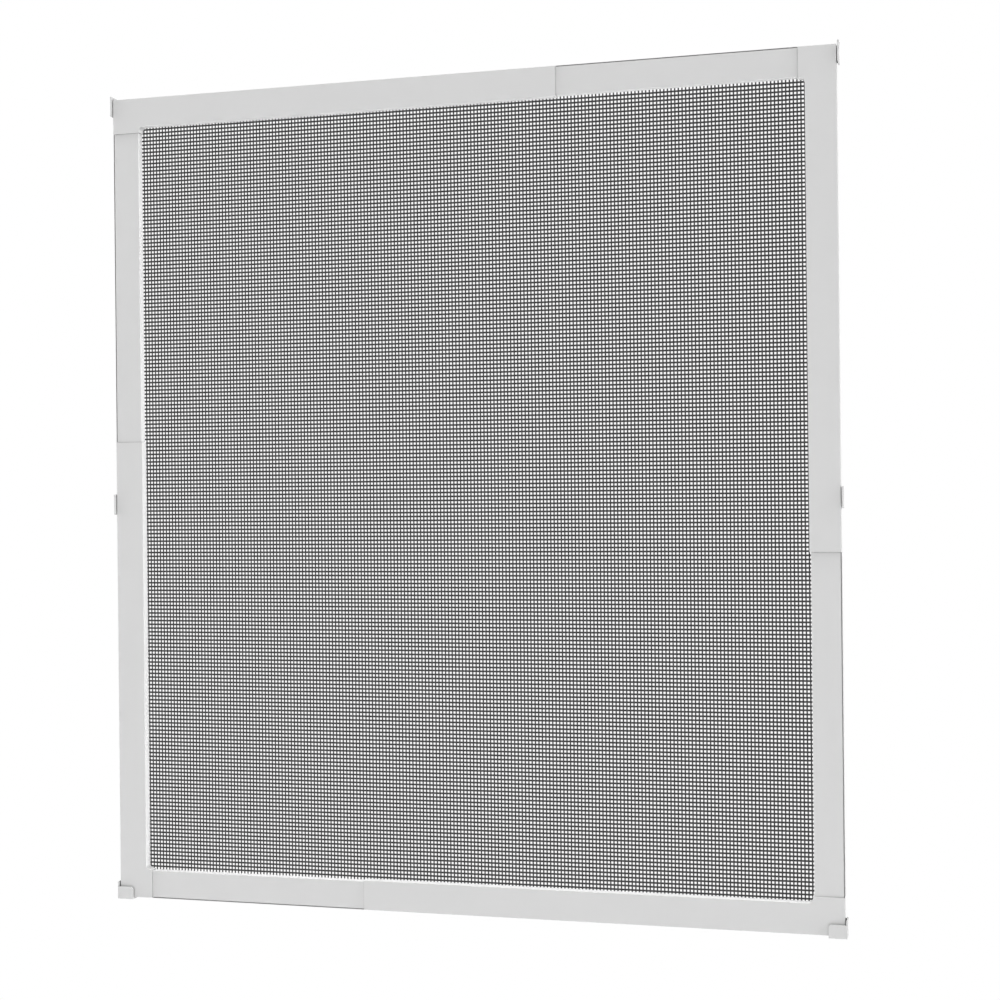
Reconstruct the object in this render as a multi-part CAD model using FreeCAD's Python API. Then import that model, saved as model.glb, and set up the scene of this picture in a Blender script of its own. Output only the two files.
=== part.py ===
import FreeCAD, Part
import math
import os

os.makedirs("parts", exist_ok=True)

# Plug-together insect screen for a window: four moulded corner arms in a pinwheel, four slide arms
# that plug between them, a mesh held by splines in a rear groove, and the clips that hold the frame.
# X runs across the window, Z up, Y from the room side (front) to the window side (back).

# Overall frame
frame_width = 1000.0
frame_height = 1120.0
frame_depth = 15.0
arm_width = 39.5
lip_depth = 13.0            # from the front face back to the edge that the mesh lies on
wall = 2.0

# Corner arms: a long hollow sleeve and a short socket at right angles, in one moulding
sleeve_length = 638.0
socket_reach = 8.5          # from the inner corner to the socket's mouth
cavity_depth = 4.6
middle_wall = 1.4
mouth_land = 2.5            # straight stretch between the inner corner's fillet and the mouth
outer_corner_radius = 1.5
front_edge_chamfer = 0.2

# Slide arms: the length in view between two mouths, and a hollow tongue at each end
slide_recess = 1.6          # how far the front face lies behind the corner arm's
slide_inset = 1.6           # how far the aperture side stands back from the corner arm's
slide_edge_chamfer = 0.3
edge_stand_out = 0.4        # how far the outer side stands out past the corner arm's
edge_lip = 0.4              # outer side of a narrow groove along the outer edge of the front
edge_groove_width = 1.1
edge_groove_depth = 2.4
socket_tongue = 34.0
sleeve_tongue = 60.0
tongue_wall = 1.2
fit_gap = 0.2
seam_gap = 0.4
end_gap = 1.0

# Rear of every arm: spline groove, the walls beside it, and stiffening ribs across the open pocket
spline_diameter = 3.8
groove_gap = 0.2
groove_lip = 1.4            # between the groove and a slide arm's aperture side
groove_rib = 2.0
stiffener_pitch = 62.0
stiffener_thickness = 1.6

# Mesh: a thin web with a grid of open gaps, and bars between them that are ridged by the threads
gap_columns = 10
gap_rows = 12
bar_width = 36.0
ridges_per_bar = 3
ridge_pitch = 11.0
ridge_width = 4.0
ridge_height = 0.3
web_thickness = 0.2
hem_thickness = 0.6
hem_depth = 4.6

# Clips: a leg behind the frame and a wing beside it with both ends bent outwards
clip_thickness = 1.0        # of the leg
wing_thickness = 1.8
clip_gap = 1.0              # slot between the wing and the side of the frame
clip_stand_out = 2.8        # how far the wing's front edge stands out past the frame's front
clip_leg_reach = 20.0
clip_leg_radius = 2.0
bend_chamfer = 0.5          # outside of the bend from the wing to the leg
clip_straight = 22.0
flare_radius = 5.0
flare_angle = 40.0
middle_clip_drop = 9.0      # from half the frame's height down to the middle of the middle clips
top_clip_drop = 9.4         # from the upper edge down to the middle of the top clips

# Corner shoes: the lower clips, closed underneath and in front of the frame
shoe_floor = 2.6
shoe_plate_thickness = 2.8
shoe_plate_gap = 0.8
shoe_plate_width = 23.3
shoe_plate_height = 17.0
shoe_plate_radius = 4.0
shoe_edge_chamfer = 0.4
shoe_leg_height = 22.0
shoe_wing_height = 18.0     # of its straight part, above the lower edge of the frame

# Adhesive pads behind the clips
pad_thickness = 1.0
pad_margin = 1.5

# Derived places, measured u from the outer edge of an arm and v back from the front face
socket_length = arm_width + socket_reach
inner_corner_radius = socket_reach - mouth_land
cavity_back = wall + cavity_depth
groove_floor = cavity_back + middle_wall
groove_width = spline_diameter + hem_thickness + groove_gap
groove_outer = arm_width - slide_inset - groove_lip
groove_inner = groove_outer - groove_width
pocket_end = groove_inner - groove_rib
mesh_back = lip_depth + 2 * ridge_height + web_thickness
leg_back = frame_depth + clip_thickness
front_v = -(shoe_plate_gap + shoe_plate_thickness)
back_v = leg_back + pad_thickness
middle_v = (front_v + back_v) / 2
side_reach = clip_gap + wing_thickness
half_width = frame_width / 2
frame_bottom = shoe_floor
frame_top = frame_bottom + frame_height
DEPTH = FreeCAD.Vector(0, 1, 0)


def box(x0, x1, y0, y1, z0, z1):
    return Part.makeBox(x1 - x0, y1 - y0, z1 - z0, FreeCAD.Vector(x0, y0, z0))


def prism(points, v0, v1):
    """A solid from an outline of (x, z) points, from depth v0 to v1."""
    corners = [FreeCAD.Vector(x, v0, z) for x, z in points]
    outline = Part.makePolygon(corners + corners[:1])
    return Part.Face(outline).extrude(DEPTH * (v1 - v0))


def edges_where(shape, test):
    """The edges whose end points and middle all pass the test."""
    chosen = []
    for edge in shape.Edges:
        middle = edge.valueAt((edge.FirstParameter + edge.LastParameter) / 2)
        if all(test(p) for p in [v.Point for v in edge.Vertexes] + [middle]):
            chosen.append(edge)
    return chosen


def near(a, b):
    return abs(a - b) < 1e-6


# Corner arm, drawn with its outer corner at the origin, the sleeve along +X and the socket down -Z
def l_band(u0, u1, v0, v1):
    """An L that follows both legs between two distances from the outer edge."""
    points = [(u0, -u0), (sleeve_length, -u0), (sleeve_length, -u1), (u1, -u1),
              (u1, -socket_length), (u0, -socket_length)]
    return prism(points, v0, v1)


def stiffeners(start, end, along_x):
    """Cross ribs in the rear pocket, spaced evenly between two distances along an arm."""
    count = max(1, int((end - start) / stiffener_pitch))
    ribs = []
    for i in range(count):
        middle = start + (i + 0.5) * (end - start) / count
        low = middle - stiffener_thickness / 2
        high = middle + stiffener_thickness / 2
        if along_x:
            ribs.append(box(low, high, groove_floor, lip_depth, -pocket_end, -wall))
        else:
            ribs.append(box(wall, pocket_end, groove_floor, lip_depth, -high, -low))
    return ribs


def corner_arm():
    body = l_band(0, arm_width, 0, lip_depth)
    inside = edges_where(body, lambda p: near(p.x, arm_width) and near(p.z, -arm_width))
    body = body.makeFillet(inner_corner_radius, inside)
    corner = edges_where(body, lambda p: near(p.x, 0) and near(p.z, 0))
    body = body.makeFillet(outer_corner_radius, corner)

    mouths = edges_where(body, lambda p: near(p.x, sleeve_length))
    mouths += edges_where(body, lambda p: near(p.z, -socket_length))
    front = edges_where(body, lambda p: near(p.y, 0))
    front = [e for e in front if not any(e.isSame(mouth) for mouth in mouths)]
    body = body.makeChamfer(front_edge_chamfer, front)
    skirt = l_band(0, wall, lip_depth, frame_depth)
    skirt_corner = edges_where(skirt, lambda p: near(p.x, 0) and near(p.z, 0))
    body = body.fuse(skirt.makeFillet(outer_corner_radius, skirt_corner))
    sleeve_cavity = box(arm_width, sleeve_length, wall, cavity_back, wall - arm_width, -wall)
    stop = socket_length - socket_tongue - end_gap
    socket_cavity = box(wall, arm_width - wall, wall, cavity_back, -socket_length, -stop)
    pocket = l_band(wall, pocket_end, groove_floor, lip_depth)
    groove = l_band(groove_inner, groove_outer, groove_floor, lip_depth)
    body = body.cut([sleeve_cavity, socket_cavity, pocket, groove])
    return body.fuse(stiffeners(arm_width, sleeve_length, True)).removeSplitter()


# Slide arm, in the same place as the corner arm that it plugs into, running down -Z
def slide_arm(side_length):
    near_end = socket_length + seam_gap
    far_end = side_length - sleeve_length - seam_gap
    tongue_start = socket_length - socket_tongue
    tongue_end = side_length - sleeve_length + sleeve_tongue

    def run(u0, u1, v0, v1, start=near_end, end=far_end):
        return box(u0, u1, v0, v1, -end, -start)

    face_u = arm_width - slide_inset
    body = run(-edge_stand_out, face_u, slide_recess, lip_depth)
    aperture_edge = edges_where(body, lambda p: near(p.x, face_u) and near(p.y, slide_recess))
    body = body.makeChamfer(slide_edge_chamfer, aperture_edge)
    edge_u = edge_lip - edge_stand_out
    edge_groove = run(edge_u, edge_u + edge_groove_width, slide_recess, slide_recess + edge_groove_depth)
    pocket = run(wall, pocket_end, groove_floor, lip_depth)
    groove = run(groove_inner, groove_outer, groove_floor, lip_depth)
    skirt = run(-edge_stand_out, wall, lip_depth, frame_depth)
    body = body.cut([edge_groove, pocket, groove])
    body = body.fuse([skirt] + stiffeners(near_end, far_end, False))

    u0 = wall + fit_gap
    u1 = arm_width - wall - fit_gap
    v0 = wall + fit_gap
    v1 = cavity_back - fit_gap
    tongue = run(u0, u1, v0, v1, tongue_start, tongue_end)
    hollow = run(u0 + tongue_wall, u1 - tongue_wall, v0 + tongue_wall, v1 - tongue_wall,
                 tongue_start, tongue_end)
    return body.fuse(tongue).cut(hollow).removeSplitter()


# Spline for the same side: it fills its own corner of the groove and stops short of the next one
def spline(side_length):
    radius = spline_diameter / 2
    start = groove_inner + groove_gap / 2
    end = side_length - groove_outer - groove_gap / 2
    middle_u = groove_inner + groove_gap / 2 + radius
    foot = FreeCAD.Vector(middle_u, groove_floor + radius, -start)
    return Part.makeCylinder(radius, end - start, foot, FreeCAD.Vector(0, 0, -1))


def placed(shape, x, z, quarter_turns):
    """Moves a shape drawn at its own corner to a corner of the frame."""
    turn = FreeCAD.Rotation(DEPTH, 90 * quarter_turns)
    copy = shape.copy()
    copy.Placement = FreeCAD.Placement(FreeCAD.Vector(x, -middle_v, z), turn)
    return copy


# Mesh, drawn with v as Y: its hem turns forward into the groove on all four sides
def bar_middles(low, high, gaps):
    """Middles of the bars on both sides of every gap; the first and last lie on the sheet's edges."""
    return [low + i * (high - low) / gaps for i in range(gaps + 1)]


def ridged_strip(low, high, gaps, base, crest, far_face):
    """Outline of a strip across the sheet, with ridges on its bars that rise from base to crest."""
    points = [(low, base)]
    for bar in bar_middles(low, high, gaps):
        for i in range(ridges_per_bar):
            left = bar + (i - (ridges_per_bar - 1) / 2) * ridge_pitch - ridge_width / 2
            right = left + ridge_width
            if left > low and right < high:
                points += [(left, base), (left, crest), (right, crest), (right, base)]
    return points + [(high, base), (high, far_face), (low, far_face)]


def insect_mesh():
    edge = groove_outer - hem_thickness
    left = edge - half_width
    right = half_width - edge
    low = frame_bottom + edge
    high = frame_top - edge
    web_front = lip_depth + ridge_height
    web_back = web_front + web_thickness
    inner_left = left + hem_thickness
    inner_right = right - hem_thickness
    inner_low = low + hem_thickness
    inner_high = high - hem_thickness

    upright = ridged_strip(inner_left, inner_right, gap_columns, web_front, lip_depth, web_back)
    corners = [FreeCAD.Vector(x, y, inner_low) for x, y in upright]
    section = Part.Face(Part.makePolygon(corners + corners[:1]))
    front_threads = section.extrude(FreeCAD.Vector(0, 0, inner_high - inner_low))

    level = ridged_strip(inner_low, inner_high, gap_rows, web_back, mesh_back, web_front)
    corners = [FreeCAD.Vector(inner_left, y, z) for z, y in level]
    section = Part.Face(Part.makePolygon(corners + corners[:1]))
    back_threads = section.extrude(FreeCAD.Vector(inner_right - inner_left, 0, 0))

    hem_front = mesh_back - ridge_height - hem_depth
    hem = box(left, right, hem_front, mesh_back, low, high)
    hem = hem.cut(box(inner_left, inner_right, hem_front, mesh_back, inner_low, inner_high))
    sheet = front_threads.fuse([back_threads, hem])

    half_bar = bar_width / 2
    columns = bar_middles(inner_left, inner_right, gap_columns)
    rows = bar_middles(inner_low, inner_high, gap_rows)
    gaps = []
    for x0, x1 in zip(columns, columns[1:]):
        for z0, z1 in zip(rows, rows[1:]):
            gaps.append(box(x0 + half_bar, x1 - half_bar, lip_depth, mesh_back, z0 + half_bar, z1 - half_bar))
    sheet = sheet.cut(Part.makeCompound(gaps)).removeSplitter()
    sheet.translate(DEPTH * -middle_v)
    return sheet


# Clips, drawn for the left side of the frame; x is measured from the side, outwards negative
def wing_outline(low, high, flare_low, flare_high):
    """A leaf beside the frame, straight between low and high, with the chosen ends bent outwards."""
    inner_x = -clip_gap
    outer_x = -side_reach
    centre_x = inner_x - flare_radius
    angle = math.radians(flare_angle)
    outer_radius = flare_radius - wing_thickness

    def on_arc(radius, turn, z, direction):
        x = centre_x + radius * math.cos(turn)
        return FreeCAD.Vector(x, 0, z + direction * radius * math.sin(turn))

    def end_edges(z, direction, flared):
        """Edges round one end, from the inner face to the outer one."""
        start = FreeCAD.Vector(inner_x, 0, z)
        stop = FreeCAD.Vector(outer_x, 0, z)
        if not flared:
            return [Part.LineSegment(start, stop).toShape()]
        tip_in = on_arc(flare_radius, angle, z, direction)
        tip_out = on_arc(outer_radius, angle, z, direction)
        inner_arc = Part.Arc(start, on_arc(flare_radius, angle / 2, z, direction), tip_in)
        outer_arc = Part.Arc(tip_out, on_arc(outer_radius, angle / 2, z, direction), stop)
        return [inner_arc.toShape(), Part.LineSegment(tip_in, tip_out).toShape(), outer_arc.toShape()]

    inner = Part.LineSegment(FreeCAD.Vector(inner_x, 0, low), FreeCAD.Vector(inner_x, 0, high))
    outer = Part.LineSegment(FreeCAD.Vector(outer_x, 0, low), FreeCAD.Vector(outer_x, 0, high))
    edges = [inner.toShape(), outer.toShape()]
    edges += end_edges(high, 1, flare_high) + end_edges(low, -1, flare_low)
    return Part.Face(Part.Wire(Part.__sortEdges__(edges)))


def wing(low, high, flare_low, flare_high, front, back):
    leaf = wing_outline(low, high, flare_low, flare_high).extrude(DEPTH * (back - front))
    leaf.translate(DEPTH * front)
    return leaf


def side_clip():
    half = clip_straight / 2
    leaf = wing(-half, half, True, True, -clip_stand_out, leg_back)
    leg = box(-side_reach, clip_leg_reach, frame_depth, leg_back, -half, half)
    outer_corners = edges_where(leg, lambda p: near(p.x, clip_leg_reach) and near(abs(p.z), half))
    leg = leg.makeFillet(clip_leg_radius, outer_corners)
    clip = leaf.fuse(leg).removeSplitter()
    bend = edges_where(clip, lambda p: near(p.x, -side_reach) and near(p.y, leg_back))
    return clip.makeChamfer(bend_chamfer, bend)


def side_clip_pad():
    half = clip_straight / 2 - pad_margin
    return box(-side_reach + pad_margin, clip_leg_reach - pad_margin, leg_back, back_v, -half, half)


def corner_shoe():
    plate_right = shoe_plate_width - side_reach
    plate_top = shoe_plate_height - shoe_floor
    leaf = wing(-shoe_floor, shoe_wing_height, False, True, -clip_stand_out, leg_back)
    leg = box(-side_reach, plate_right, frame_depth, leg_back, -shoe_floor, shoe_leg_height - shoe_floor)
    floor = box(-side_reach, plate_right, front_v, leg_back, -shoe_floor, 0)
    cheek = box(-side_reach, -clip_gap, front_v, 0, -shoe_floor, plate_top)
    plate = box(-side_reach, plate_right, front_v, -shoe_plate_gap, -shoe_floor, plate_top)
    rounded = edges_where(plate, lambda p: near(p.x, plate_right) and near(p.z, plate_top))
    plate = plate.makeFillet(shoe_plate_radius, rounded)
    shoe = leaf.fuse([leg, floor, cheek, plate]).removeSplitter()

    def on_two_outer_faces(p):
        return [near(p.x, -side_reach), near(p.y, front_v), near(p.z, -shoe_floor)].count(True) >= 2

    return shoe.makeChamfer(shoe_edge_chamfer, edges_where(shoe, on_two_outer_faces))


def corner_shoe_pad():
    return box(-side_reach + pad_margin, shoe_plate_width - side_reach - pad_margin, leg_back, back_v,
               -shoe_floor + pad_margin, shoe_leg_height - shoe_floor - pad_margin)


def beside(shape, height, right_side):
    """Puts a left-hand clip at a height on the left side, or its mirror image on the right."""
    copy = shape.copy()
    copy.translate(FreeCAD.Vector(-half_width, -middle_v, height))
    if right_side:
        copy = copy.mirror(FreeCAD.Vector(0, 0, 0), FreeCAD.Vector(1, 0, 0))
    return copy


nodes = {}

moulding = corner_arm()
corner_places = {
    "top_left": (-half_width, frame_top),
    "top_right": (half_width, frame_top),
    "bottom_right": (half_width, frame_bottom),
    "bottom_left": (-half_width, frame_bottom),
}
slide_sides = {
    "top_left": ("left", frame_height),
    "top_right": ("top", frame_width),
    "bottom_right": ("right", frame_height),
    "bottom_left": ("bottom", frame_width),
}
for quarter_turns, (corner_name, (x, z)) in enumerate(corner_places.items()):
    side_name, side_length = slide_sides[corner_name]
    nodes["corner_arm_" + corner_name] = placed(moulding, x, z, quarter_turns)
    nodes["slide_arm_" + side_name] = placed(slide_arm(side_length), x, z, quarter_turns)
    nodes["spline_" + side_name] = placed(spline(side_length), x, z, quarter_turns)

nodes["insect_mesh"] = insect_mesh()

clip_heights = {
    "top": frame_top - top_clip_drop,
    "middle": frame_bottom + frame_height / 2 - middle_clip_drop,
}
for side_name, right_side in (("left", False), ("right", True)):
    for level_name, height in clip_heights.items():
        place_name = level_name + "_" + side_name
        nodes["side_clip_" + place_name] = beside(side_clip(), height, right_side)
        nodes["clip_pad_" + place_name] = beside(side_clip_pad(), height, right_side)
    nodes["corner_shoe_" + side_name] = beside(corner_shoe(), frame_bottom, right_side)
    nodes["shoe_pad_" + side_name] = beside(corner_shoe_pad(), frame_bottom, right_side)

for name, shape in nodes.items():
    shape.exportStep("parts/" + name + ".step")
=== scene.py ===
import math
import bpy
import numpy as np
from mathutils import Matrix, Vector


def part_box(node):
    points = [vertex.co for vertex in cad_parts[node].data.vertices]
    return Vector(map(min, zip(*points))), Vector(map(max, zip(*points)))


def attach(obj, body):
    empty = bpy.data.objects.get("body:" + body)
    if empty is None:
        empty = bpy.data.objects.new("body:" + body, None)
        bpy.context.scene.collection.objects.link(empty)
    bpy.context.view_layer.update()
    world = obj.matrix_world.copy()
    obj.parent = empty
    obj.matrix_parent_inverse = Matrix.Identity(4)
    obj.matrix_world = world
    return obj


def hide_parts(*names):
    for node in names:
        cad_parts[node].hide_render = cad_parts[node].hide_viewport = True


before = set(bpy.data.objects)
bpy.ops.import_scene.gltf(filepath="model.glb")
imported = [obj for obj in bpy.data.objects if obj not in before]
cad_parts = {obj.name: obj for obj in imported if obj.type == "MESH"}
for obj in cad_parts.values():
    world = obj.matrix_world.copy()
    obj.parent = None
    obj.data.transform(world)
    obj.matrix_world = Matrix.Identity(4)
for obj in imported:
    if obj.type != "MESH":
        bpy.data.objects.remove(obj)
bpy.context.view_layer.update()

MM = 0.001

# Camera, solved from the edges of the front face: an upright screen seen a little from the right.
# Its angles are in degrees, and its place is measured from the middle of the front.
FOCAL_PIXELS = 1671.5
IMAGE_PIXELS = 1000
SENSOR_WIDTH = 36.0
CAMERA_AZIMUTH = 14.847
CAMERA_ELEVATION = -0.035
CAMERA_ROLL = -0.584
CAMERA_FROM_FRONT = Vector((623.9, -2135.7, -9.5)) * MM

# Light: soft all over the room side, with a ring that rakes along the front, and a broad lamp
# before and behind. Reaches run from 0, in the plane of the screen, to 1, straight before or behind.
SOFT_LIGHT = 0.3
RING_LIGHT = 6.5
RING_REACH = 0.4
ROOM_SPILL = 0.02
FRONT_LAMP = 0.55
BACK_LAMP = 1.9
LAMP_EDGE = 0.6

# Floor, well below the screen, which hangs at window height
FLOOR_DROP = 3.0
FLOOR_SIZE = 9.0

# Mesh: flat coated threads, upright ones in front of level ones, tucked in with a small bend.
# The bend's middle is a share of its radius, measured from the corner that it rounds.
UPRIGHT_PITCH = 4.735 * MM
LEVEL_PITCH = 5.315 * MM
UPRIGHT_WIDTH = 1.92 * MM
LEVEL_WIDTH = 2.44 * MM
THREAD_THICKNESS = 0.5 * MM
SHEET_THICKNESS = 0.8 * MM
THREAD_SIDES = 8
TUCK_RADIUS = 0.5 * MM
BEND_MIDDLE = 0.3

# Moulded plastic: greys of the clouded faces; of the walls at right angles to them, painted light on the
# arms and painted shade on the clips and shoes; of rounded corners and the outer rim, painted shade;
# and of crevices, painted shade
ARM_GREYS = dict(dark=0.765, light=0.79, side_light_and_shade=0.94, edge=0.66, crevice_shade=0.44)
CLIP_GREYS = dict(dark=0.75, light=0.78, side_light_and_shade=0.6, edge=0.6, crevice_shade=0.5)
SHOE_GREYS = dict(dark=0.75, light=0.78, side_light_and_shade=0.6, edge=0.6, crevice_shade=0.15)

# Other colours, from dark to light
THREAD_COLOURS = ((0.028, 0.028, 0.029, 1.0), (0.056, 0.056, 0.057, 1.0))
SPLINE_COLOURS = ((0.02, 0.02, 0.02, 1.0), (0.045, 0.045, 0.045, 1.0))
FOAM_COLOURS = ((0.62, 0.62, 0.6, 1.0), (0.84, 0.84, 0.82, 1.0))
FLOOR_COLOURS = ((0.94, 0.94, 0.94, 1.0), (0.96, 0.96, 0.96, 1.0))
WHITE = (1.0, 1.0, 1.0, 1.0)

# Finish: least and greatest roughness, and strength of the reflection
PLASTIC_ROUGHNESS = (0.42, 0.55)
THREAD_ROUGHNESS = (0.4, 0.6)
SPLINE_ROUGHNESS = (0.6, 0.8)
FOAM_ROUGHNESS = (0.7, 0.9)
FLOOR_ROUGHNESS = (0.8, 0.9)
PLAIN_SPECULAR = 0.5
THREAD_SPECULAR = 0.35

# Patterns, in repeats per metre, their detail, and the heights of the bumps that they raise
PLASTIC_CLOUDS = 9.0
PLASTIC_GRAIN = 1400.0
THREAD_LUMPS = 700.0
SPLINE_SPECKS = 2200.0
FOAM_PORES = 1800.0
FLOOR_CLOUDS = 3.0
PLAIN_DETAIL = 2.0
FINE_DETAIL = 3.0
PLASTIC_BUMP = 0.04 * MM
THREAD_BUMP = 0.1 * MM
SPLINE_BUMP = 0.08 * MM
FOAM_BUMP = 0.2 * MM
FLOOR_BUMP = 0.1 * MM

# Where something begins and is whole: the usual values of a noise, faces and slants by their direction,
# the outer rim as a share of the screen's half width and height, and crevices by how open they are.
# Faces, slants, the rim and crevices place the plastic's painted light and shade. Walls further off than
# the reach cast no painted shade.
NOISE_LIMITS = (0.3, 0.7)
FACE_LIMITS = (0.4, 0.9)
SLANT_LIMITS = (0.1, 0.45)
RIM_LIMITS = (0.97, 0.985)
CREVICE_SHADE_LIMITS = (0.2, 0.95)
CREVICE_SHADE_REACH = 4.0 * MM
CREVICE_SHADE_SAMPLES = 24


def node_box(name):
    low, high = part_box(name)
    return Vector(low), Vector(high)


def screen_box():
    """The box of the four sides, without the clips and the shoes."""
    return node_box("corner_arm_bottom_left")[0], node_box("corner_arm_top_right")[1]


def add_object(name, data):
    obj = bpy.data.objects.new(name, data)
    bpy.context.scene.collection.objects.link(obj)
    return obj


# Nodes of materials and of the world

class Nodes:
    """A short way to add and link the nodes of one material or world."""

    def __init__(self, tree):
        self.tree = tree
        tree.nodes.clear()

    def feed(self, socket, value):
        """Links a socket to another node's output, or sets its own value."""
        if isinstance(value, bpy.types.NodeSocket):
            self.tree.links.new(value, socket)
        else:
            socket.default_value = value

    def add(self, kind, inputs=None, **settings):
        node = self.tree.nodes.new(kind)
        for key, value in settings.items():
            setattr(node, key, value)
        for key, value in (inputs or {}).items():
            self.feed(node.inputs[key], value)
        return node

    def combine(self, operation, *values):
        return self.add("ShaderNodeMath", dict(enumerate(values)), operation=operation).outputs["Value"]

    def vector(self, operation, *values):
        node = self.add("ShaderNodeVectorMath", dict(enumerate(values)), operation=operation)
        return node.outputs["Vector"]

    def parts(self, vector):
        return self.add("ShaderNodeSeparateXYZ", {"Vector": vector}).outputs

    def noise(self, place, scale, detail=PLAIN_DETAIL):
        node = self.add("ShaderNodeTexNoise", {"Vector": place, "Scale": scale, "Detail": detail})
        return node.outputs["Fac"]

    def pores(self, place, scale):
        return self.add("ShaderNodeTexVoronoi", {"Vector": place, "Scale": scale}).outputs["Distance"]

    def ramp(self, value, limits, results=(0.0, 1.0), shape="LINEAR"):
        """Maps a value between two limits to a range, and holds the range's ends beyond them."""
        node = self.add("ShaderNodeMapRange", {"Value": value, "From Min": limits[0], "From Max": limits[1],
                                               "To Min": results[0], "To Max": results[1]},
                        interpolation_type=shape)
        return node.outputs["Result"]

    def glow(self, depth, edge, core, strength):
        """Light that rises smoothly from nothing at its edge to its strength at its core."""
        return self.ramp(depth, (edge, core), (0.0, strength), "SMOOTHSTEP")

    def tint(self, value, dark, light):
        """Blends two colours, each given as a socket or as plain numbers."""
        node = self.add("ShaderNodeMix", {"Factor": value}, data_type="RGBA")
        sockets = [s for s in node.inputs if s.type == "RGBA"]
        for socket, colour in zip(sockets, (dark, light)):
            self.feed(socket, colour)
        return next(s for s in node.outputs if s.type == "RGBA")

    # Masks by direction, which place the painted light and shade of walls and slants
    def facing(self):
        """Two values from a face's direction: 1 on a front or a back, and 1 on a slanting side."""
        normal = self.add("ShaderNodeNewGeometry").outputs["True Normal"]
        size = self.parts(self.vector("ABSOLUTE", normal))
        slant = self.combine("MULTIPLY", size["X"], size["Z"])
        return self.ramp(size["Y"], FACE_LIMITS), self.ramp(slant, SLANT_LIMITS)

    def rim(self, place):
        """1 on the outer edge of the screen, 0 further in; the walls there take a painted shade."""
        low, high = screen_box()
        from_middle = self.vector("SUBTRACT", place, (low + high) / 2)
        share = self.vector("DIVIDE", from_middle, (high - low) / 2)
        size = self.parts(self.vector("ABSOLUTE", share))
        return self.ramp(self.combine("MAXIMUM", size["X"], size["Z"]), RIM_LIMITS)

    def free_of_crevice_shade(self):
        """Mask of painted shade: 0 deep in seams and slots narrower than the reach, 1 on open faces."""
        node = self.add("ShaderNodeAmbientOcclusion", {"Distance": CREVICE_SHADE_REACH}, samples=CREVICE_SHADE_SAMPLES)
        return self.ramp(node.outputs["AO"], CREVICE_SHADE_LIMITS)

    def finish(self, colour, pattern, roughness, bump_height, specular=PLAIN_SPECULAR):
        """Ends a material in one shader, with a bump and a roughness that follow its pattern."""
        bump = self.add("ShaderNodeBump", {"Height": pattern, "Distance": bump_height, "Strength": 1.0})
        shader = self.add("ShaderNodeBsdfPrincipled", {
            "Base Color": colour,
            "Roughness": self.ramp(pattern, NOISE_LIMITS, roughness),
            "Specular IOR Level": specular,
            "Normal": bump.outputs["Normal"],
        })
        self.add("ShaderNodeOutputMaterial", {"Surface": shader.outputs["BSDF"]})


# Materials

def new_material(name):
    """A material, its nodes, and the place in the part that its patterns follow."""
    material = bpy.data.materials.new(name)
    material.use_nodes = True
    nodes = Nodes(material.node_tree)
    return material, nodes, nodes.add("ShaderNodeTexCoord").outputs["Object"]


def grey(level):
    return (level, level, level, 1.0)


def moulded_plastic(name, dark, light, side_light_and_shade, edge, crevice_shade):
    """Off-white plastic: grained faces, sides in painted light and shade, painted shade in seams and slots.
    """
    material, nodes, place = new_material(name)
    clouds = nodes.noise(place, PLASTIC_CLOUDS, FINE_DETAIL)
    grain = nodes.noise(place, PLASTIC_GRAIN)
    on_face, on_slant = nodes.facing()
    # Painted shade on slants, rounded corners and the walls of the outer rim
    edge_shade_mask = nodes.combine("MAXIMUM", on_slant, nodes.rim(place))
    faces = nodes.tint(clouds, grey(dark), grey(light))
    # Painted light and shade on the sides: arm walls lighter, clip and shoe sides darker
    sides = nodes.tint(edge_shade_mask, grey(side_light_and_shade), grey(edge))
    colour_before_crevice_shade = nodes.tint(on_face, sides, faces)
    # Painted shade: seams and slots darkened by how closed in they are
    colour = nodes.tint(nodes.free_of_crevice_shade(), grey(crevice_shade), colour_before_crevice_shade)
    nodes.finish(colour, grain, PLASTIC_ROUGHNESS, PLASTIC_BUMP)
    return material


def thread_coating():
    """Near-black coated yarn with a slight gloss and uneven coating."""
    material, nodes, place = new_material("thread_coating")
    lumps = nodes.noise(place, THREAD_LUMPS)
    colour = nodes.tint(lumps, *THREAD_COLOURS)
    nodes.finish(colour, lumps, THREAD_ROUGHNESS, THREAD_BUMP, THREAD_SPECULAR)
    return material


def spline_rubber():
    """Matt black cord."""
    material, nodes, place = new_material("spline_rubber")
    specks = nodes.noise(place, SPLINE_SPECKS, FINE_DETAIL)
    nodes.finish(nodes.tint(specks, *SPLINE_COLOURS), specks, SPLINE_ROUGHNESS, SPLINE_BUMP)
    return material


def foam_tape():
    """White foam with open pores."""
    material, nodes, place = new_material("foam_tape")
    pores = nodes.pores(place, FOAM_PORES)
    nodes.finish(nodes.tint(pores, *FOAM_COLOURS), pores, FOAM_ROUGHNESS, FOAM_BUMP)
    return material


def pale_floor():
    """Near-white floor, slightly clouded."""
    material, nodes, place = new_material("pale_floor")
    clouds = nodes.noise(place, FLOOR_CLOUDS)
    nodes.finish(nodes.tint(clouds, *FLOOR_COLOURS), clouds, FLOOR_ROUGHNESS, FLOOR_BUMP)
    return material


def paint_cad_nodes():
    """Gives each CAD node its material, by the start of its name."""
    arm = moulded_plastic("arm_plastic", **ARM_GREYS)
    tape = foam_tape()
    by_start = {
        "corner_arm": arm,
        "slide_arm": arm,
        "side_clip": moulded_plastic("clip_plastic", **CLIP_GREYS),
        "corner_shoe": moulded_plastic("shoe_plastic", **SHOE_GREYS),
        "spline": spline_rubber(),
        "clip_pad": tape,
        "shoe_pad": tape,
    }
    for name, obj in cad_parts.items():
        for start, material in by_start.items():
            if name.startswith(start):
                obj.data.materials.clear()
                obj.data.materials.append(material)


# Mesh

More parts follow.
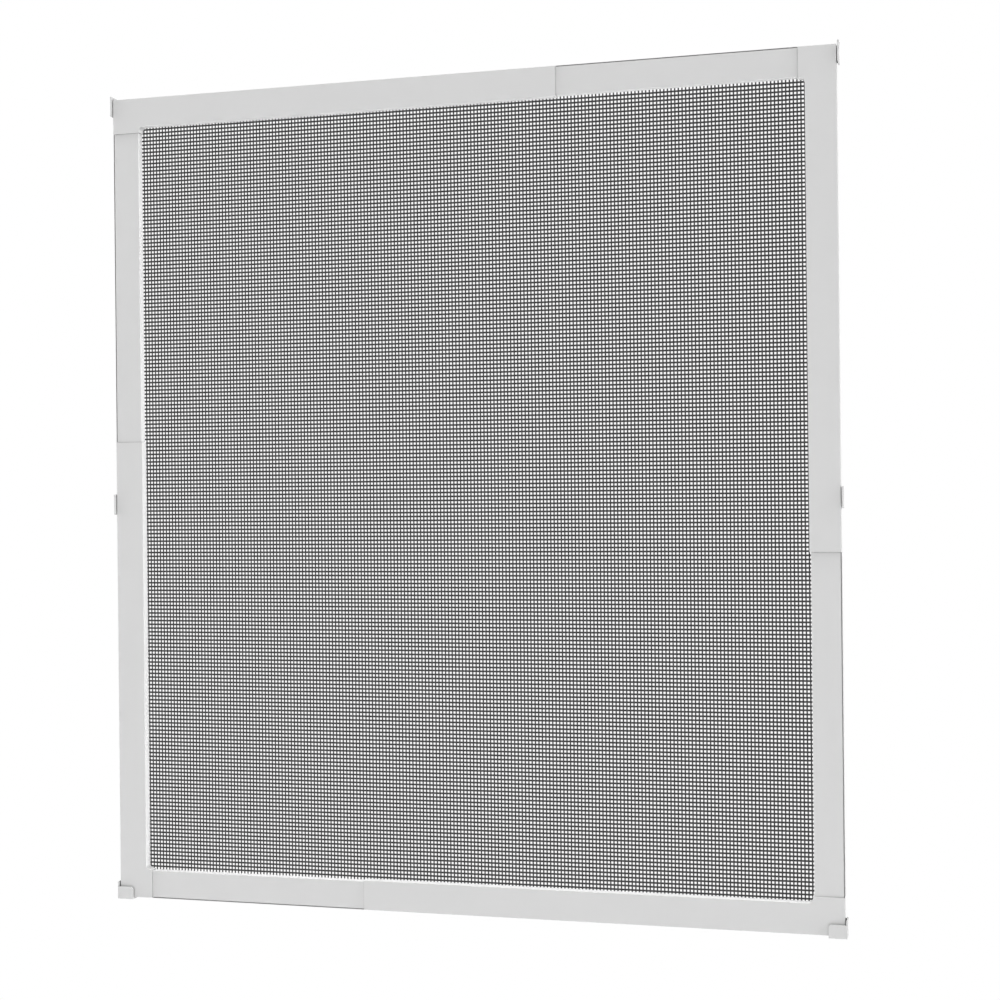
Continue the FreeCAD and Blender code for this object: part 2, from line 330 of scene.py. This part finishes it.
def tucked_path(low, high, hem_front, plane):
    """Points (along, depth) of a thread that is tucked forward into the groove at both ends."""
    inset = THREAD_THICKNESS / 2
    bend = TUCK_RADIUS
    middle = BEND_MIDDLE * bend
    tuck = [(0.0, hem_front - plane), (0.0, -bend), (middle, -middle), (bend, 0.0)]
    start = [(low + inset + along, plane + depth) for along, depth in tuck]
    stop = [(high - inset - along, plane + depth) for along, depth in reversed(tuck)]
    return np.array(start + stop)


def thread_tube(path, width):
    """Points (along, across, depth) and faces of an oval tube along a path."""
    steps = np.gradient(path, axis=0)
    steps /= np.linalg.norm(steps, axis=1)[:, None]
    normals = np.stack([-steps[:, 1], steps[:, 0]], axis=1)
    turn = np.arange(THREAD_SIDES) * 2 * math.pi / THREAD_SIDES
    across = np.cos(turn) * width / 2
    up = np.sin(turn) * THREAD_THICKNESS / 2
    points = np.zeros((len(path), THREAD_SIDES, 3))
    points[:, :, 0] = path[:, None, 0] + normals[:, None, 0] * up
    points[:, :, 1] = across
    points[:, :, 2] = path[:, None, 1] + normals[:, None, 1] * up
    faces = []
    for ring in range(len(path) - 1):
        for side in range(THREAD_SIDES):
            a = ring * THREAD_SIDES + side
            b = ring * THREAD_SIDES + (side + 1) % THREAD_SIDES
            faces.append((a, b, b + THREAD_SIDES, a + THREAD_SIDES))
    last = (len(path) - 1) * THREAD_SIDES
    faces.append(tuple(reversed(range(THREAD_SIDES))))
    faces.append(tuple(last + side for side in range(THREAD_SIDES)))
    return points.reshape(-1, 3), faces


def evenly(low, high, pitch):
    """As many places as fit between two ends at a pitch, centred between them."""
    count = int((high - low) / pitch)
    first = (low + high) / 2 - (count - 1) * pitch / 2
    return [first + i * pitch for i in range(count)]


def weave(low, high):
    """Tubes of all the threads in a box, as pairs of points and faces."""
    front = high.y - SHEET_THICKNESS + THREAD_THICKNESS / 2
    back = high.y - THREAD_THICKNESS / 2
    margin = 2 * TUCK_RADIUS
    threads = []
    tube, faces = thread_tube(tucked_path(low.z, high.z, low.y, front), UPRIGHT_WIDTH)
    for x in evenly(low.x + margin, high.x - margin, UPRIGHT_PITCH):
        threads.append((np.stack([x + tube[:, 1], tube[:, 2], tube[:, 0]], axis=1), faces))
    tube, faces = thread_tube(tucked_path(low.x, high.x, low.y, back), LEVEL_WIDTH)
    # Laid along X the tube is mirrored, so its faces are turned round to look outward again
    outward = [tuple(reversed(face)) for face in faces]
    for z in evenly(low.z + margin, high.z - margin, LEVEL_PITCH):
        threads.append((np.stack([tube[:, 0], tube[:, 2], z + tube[:, 1]], axis=1), outward))
    return threads


def joined(tubes):
    """The points of all the tubes in one list, and their faces in another."""
    points = []
    faces = []
    for tube_points, tube_faces in tubes:
        start = len(points)
        points.extend(tube_points.tolist())
        faces.extend(tuple(start + i for i in face) for face in tube_faces)
    return points, faces


def build_mesh():
    """The sheet of threads, in place of the mesh solid, shaded smooth but for the cut ends."""
    low, high = node_box("insect_mesh")
    points, faces = joined(weave(low, high))
    data = bpy.data.meshes.new("screen_mesh")
    data.from_pydata(points, [], faces)
    data.materials.append(thread_coating())
    for polygon in data.polygons:
        polygon.use_smooth = len(polygon.vertices) < THREAD_SIDES
    piece = add_object("screen_mesh", data)
    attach(piece, "root")
    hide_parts("insect_mesh")


# Light, floor and camera

def light_world():
    """Light by direction on diffuse rays, and plain white for the camera, reflections and transmission."""
    world = bpy.data.worlds.new("studio")
    bpy.context.scene.world = world
    world.use_nodes = True
    nodes = Nodes(world.node_tree)
    direction = nodes.add("ShaderNodeTexCoord").outputs["Generated"]
    depth = nodes.parts(direction)["Y"]
    ring = nodes.glow(depth, -RING_REACH, 0.0, RING_LIGHT)
    front_lamp = nodes.glow(depth, -LAMP_EDGE, -1.0, FRONT_LAMP)
    back_lamp = nodes.glow(depth, LAMP_EDGE, 1.0, BACK_LAMP)
    room_side = nodes.glow(depth, ROOM_SPILL, 0.0, 1.0)
    room = nodes.combine("ADD", nodes.combine("ADD", ring, front_lamp), SOFT_LIGHT)
    strength = nodes.combine("ADD", nodes.combine("MULTIPLY", room, room_side), back_lamp)
    light = nodes.add("ShaderNodeBackground", {"Color": WHITE, "Strength": strength})
    white = nodes.add("ShaderNodeBackground", {"Color": WHITE, "Strength": 1.0})
    path = nodes.add("ShaderNodeLightPath")
    seen = path.outputs["Is Camera Ray"]
    for kind in ("Is Glossy Ray", "Is Transmission Ray"):
        seen = nodes.combine("MAXIMUM", seen, path.outputs[kind])
    mix = nodes.add("ShaderNodeMixShader", {0: seen, 1: light.outputs[0], 2: white.outputs[0]})
    nodes.add("ShaderNodeOutputWorld", {"Surface": mix.outputs[0]})


def lay_floor():
    half = FLOOR_SIZE / 2
    corners = [(-half, -half), (half, -half), (half, half), (-half, half)]
    data = bpy.data.meshes.new("floor")
    data.from_pydata([(x, y, -FLOOR_DROP) for x, y in corners], [], [(0, 1, 2, 3)])
    data.materials.append(pale_floor())
    floor = add_object("floor", data)


def set_camera():
    """The photo's camera, placed from the middle of the screen's front."""
    azimuth = math.radians(CAMERA_AZIMUTH)
    elevation = math.radians(CAMERA_ELEVATION)
    roll = math.radians(CAMERA_ROLL)
    low, high = screen_box()
    front_centre = Vector((0.0, low.y, (low.z + high.z) / 2))
    ahead = Vector((-math.sin(azimuth) * math.cos(elevation), math.cos(azimuth) * math.cos(elevation),
                    -math.sin(elevation)))
    level = Vector((math.cos(azimuth), math.sin(azimuth), 0.0))
    upright = level.cross(ahead)
    right = math.cos(roll) * level + math.sin(roll) * upright
    up = math.cos(roll) * upright - math.sin(roll) * level
    turn = Matrix((right, up, -ahead)).transposed().to_4x4()
    data = bpy.data.cameras.new("camera")
    data.sensor_fit = "HORIZONTAL"
    data.sensor_width = SENSOR_WIDTH
    data.lens = SENSOR_WIDTH * FOCAL_PIXELS / IMAGE_PIXELS
    camera = add_object("camera", data)
    camera.matrix_world = Matrix.Translation(front_centre + CAMERA_FROM_FRONT) @ turn
    bpy.context.scene.camera = camera


bpy.context.scene.view_settings.view_transform = "Standard"
paint_cad_nodes()
build_mesh()
light_world()
lay_floor()
set_camera()
